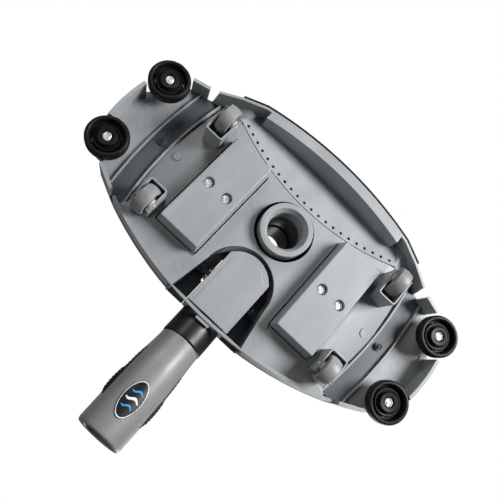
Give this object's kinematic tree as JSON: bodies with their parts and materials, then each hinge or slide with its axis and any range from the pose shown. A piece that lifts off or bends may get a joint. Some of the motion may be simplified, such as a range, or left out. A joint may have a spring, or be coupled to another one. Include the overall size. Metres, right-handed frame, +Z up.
{
  "type": "pool vacuum head",
  "caption": "Weighted manual pool vacuum head with a domed grey housing, floor rollers, corner bumper wheels, a swivelling hose connector and a hinged pole handle.",
  "frame": {"origin": "on the floor under the rollers, at the middle of the area that the head and its lowered handle cover", "axes": "+Z up, +X from the left end to the right end, +Y from the suction lip towards the handle's end"},
  "size_m": [0.427, 0.3661, 0.1132],
  "materials": {
    "shell_grey": "satin moulded",
    "cover_grey": "satin moulded",
    "roller_grey": "matt moulded",
    "black_plastic": "glossy moulded",
    "black_rubber": "satin rubber",
    "grip_rubber": "ribbed soft touch",
    "steel": "bright turned",
    "cast_iron": "painted casting"
  },
  "bodies": {
    "head": {"main_housing": "shell_grey", "front_plate": "shell_grey", "wing_left": "shell_grey", "weight_cover_left": "shell_grey", "ballast_weight_left": "cast_iron", "channel_screw_left": "steel", "cover_screw_left_1": "steel", "cover_screw_left_2": "steel", "roller_bracket_front_left": "shell_grey", "roller_axle_front_left": "steel", "bumper_screw_front_left": "steel", "roller_bracket_rear_left": "shell_grey", "roller_axle_rear_left": "steel", "bumper_screw_rear_left": "steel", "pivot_pin_left": "steel", "wing_right": "shell_grey", "weight_cover_right": "shell_grey", "ballast_weight_right": "cast_iron", "channel_screw_right": "steel", "cover_screw_right_1": "steel", "cover_screw_right_2": "steel", "roller_bracket_front_right": "shell_grey", "roller_axle_front_right": "steel", "bumper_screw_front_right": "steel", "roller_bracket_rear_right": "shell_grey", "roller_axle_rear_right": "steel", "bumper_screw_rear_right": "steel", "pivot_pin_right": "steel", "front_bumper_strip": "black_rubber", "top_cover": "cover_grey", "retaining_ring": "cover_grey"},
    "swivel": {"suction_collar": "shell_grey", "swivel_connector": "shell_grey"},
    "handle": {"handle_yoke": "shell_grey", "handle_tube": "black_plastic", "handle_sleeve": "shell_grey", "badge": "black_plastic", "side_grip_left": "grip_rubber", "side_grip_right": "grip_rubber", "pivot_clip_left": "steel", "pivot_clip_right": "steel", "button_spring_left": "steel", "button_spring_right": "steel"},
    "button_left": {"lock_button_left": "black_plastic"},
    "roller_front_left": {"floor_roller_front_left": "roller_grey"},
    "wheel_front_left": {"bumper_tyre_front_left": "black_rubber", "bumper_hub_front_left": "black_plastic"},
    "roller_rear_left": {"floor_roller_rear_left": "roller_grey"},
    "wheel_rear_left": {"bumper_tyre_rear_left": "black_rubber", "bumper_hub_rear_left": "black_plastic"},
    "button_right": {"lock_button_right": "black_plastic"},
    "roller_front_right": {"floor_roller_front_right": "roller_grey"},
    "wheel_front_right": {"bumper_tyre_front_right": "black_rubber", "bumper_hub_front_right": "black_plastic"},
    "roller_rear_right": {"floor_roller_rear_right": "roller_grey"},
    "wheel_rear_right": {"bumper_tyre_rear_right": "black_rubber", "bumper_hub_rear_right": "black_plastic"}
  },
  "joints": [
    {"name": "handle_tilt", "type": "hinge", "parent": "head", "child": "handle", "pos_m": [0, -0.00315, 0.066], "axis": [1, 0, 0], "range_deg": [0, 100]},
    {"name": "connector_swivel", "type": "hinge", "parent": "head", "child": "swivel", "pos_m": [0, -0.08365, 0.06], "axis": [0, 0, 1], "continuous": true},
    {"name": "button_press_left", "type": "slide", "parent": "handle", "child": "button_left", "axis": [1, 0, 0], "range_m": [0, 0.002], "stiffness_N_per_m": 1500, "springref_m": -0.002},
    {"name": "roller_spin_front_left", "type": "hinge", "parent": "head", "child": "roller_front_left", "pos_m": [-0.1188, -0.12095, 0.0155], "axis": [1, 0, 0], "continuous": true},
    {"name": "roller_spin_rear_left", "type": "hinge", "parent": "head", "child": "roller_rear_left", "pos_m": [-0.1188, -0.00365, 0.0155], "axis": [1, 0, 0], "continuous": true},
    {"name": "wheel_spin_front_left", "type": "hinge", "parent": "head", "child": "wheel_front_left", "pos_m": [-0.1915, -0.11385, 0.0315], "axis": [0, 0, 1], "continuous": true},
    {"name": "wheel_spin_rear_left", "type": "hinge", "parent": "head", "child": "wheel_rear_left", "pos_m": [-0.1908, -0.02535, 0.0315], "axis": [0, 0, 1], "continuous": true},
    {"name": "button_press_right", "type": "slide", "parent": "handle", "child": "button_right", "axis": [-1, 0, 0], "range_m": [0, 0.002], "stiffness_N_per_m": 1500, "springref_m": -0.002},
    {"name": "roller_spin_front_right", "type": "hinge", "parent": "head", "child": "roller_front_right", "pos_m": [0.1188, -0.12095, 0.0155], "axis": [1, 0, 0], "continuous": true},
    {"name": "roller_spin_rear_right", "type": "hinge", "parent": "head", "child": "roller_rear_right", "pos_m": [0.1188, -0.00365, 0.0155], "axis": [1, 0, 0], "continuous": true},
    {"name": "wheel_spin_front_right", "type": "hinge", "parent": "head", "child": "wheel_front_right", "pos_m": [0.1915, -0.11385, 0.0315], "axis": [0, 0, 1], "continuous": true},
    {"name": "wheel_spin_rear_right", "type": "hinge", "parent": "head", "child": "wheel_rear_right", "pos_m": [0.1908, -0.02535, 0.0315], "axis": [0, 0, 1], "continuous": true}
  ]
}
